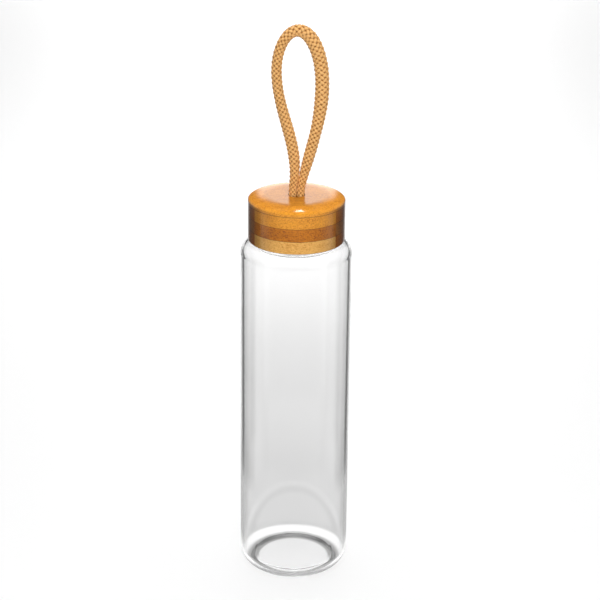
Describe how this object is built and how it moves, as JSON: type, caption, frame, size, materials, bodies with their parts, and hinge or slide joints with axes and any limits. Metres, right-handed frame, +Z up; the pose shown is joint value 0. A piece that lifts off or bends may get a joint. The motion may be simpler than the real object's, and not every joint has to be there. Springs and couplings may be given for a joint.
{
  "type": "glass water bottle",
  "caption": "Tall straight-walled clear glass water bottle with a rounded heel, a laminated bamboo screw lid and a braided cord carrying loop.",
  "frame": {"origin": "centre of the ring the bottle stands on", "axes": "+Z up the bottle's axis, -Y the front, +X to the right seen from the front"},
  "size_m": [0.065, 0.065, 0.3373],
  "materials": {
    "clear_glass": "polished",
    "bamboo_honey": "clear lacquer",
    "bamboo_tan": "clear lacquer",
    "bamboo_brown": "clear lacquer",
    "insert_plastic": "moulded satin",
    "silicone": "soft matte",
    "cord": "braided"
  },
  "bodies": {
    "bottle": {"glass_bottle": "clear_glass"},
    "seal": {"seal_gasket": "silicone"},
    "lid": {"lid_top_strip": "bamboo_honey", "lid_upper_front_strip": "bamboo_honey", "lid_upper_centre_strip": "bamboo_brown", "lid_upper_rear_strip": "bamboo_honey", "lid_middle_front_strip": "bamboo_brown", "lid_middle_centre_strip": "bamboo_tan", "lid_middle_rear_strip": "bamboo_brown", "lid_lower_front_strip": "bamboo_honey", "lid_lower_left_strip": "bamboo_brown", "lid_lower_right_strip": "bamboo_brown", "lid_lower_rear_strip": "bamboo_honey", "threaded_insert": "insert_plastic"},
    "cord_root": {"cord_knot": "cord"},
    "cord": {"cord_loop": "cord"}
  },
  "joints": [
    {"name": "lid_lift", "type": "slide", "parent": "bottle", "child": "seal", "axis": [0, 0, 1], "range_m": [0, 0.01]},
    {"name": "lid_turn", "type": "hinge", "parent": "seal", "child": "lid", "pos_m": [0, 0, 0.2108], "axis": [0, 0, 1], "range_deg": [0, 900]},
    {"name": "cord_swivel", "type": "hinge", "parent": "lid", "child": "cord_root", "pos_m": [0, 0, 0.2374], "axis": [0, 0, 1], "range_deg": [-180, 180]},
    {"name": "cord_swing", "type": "hinge", "parent": "cord_root", "child": "cord", "pos_m": [0, 0, 0.241], "axis": [1, 0, 0], "range_deg": [-90, 90], "stiffness_Nm_per_rad": 0.012}
  ],
  "couplings": [
    {"joint": "lid_lift", "follows": "lid_turn", "m_per_rad": 0.00063662}
  ]
}
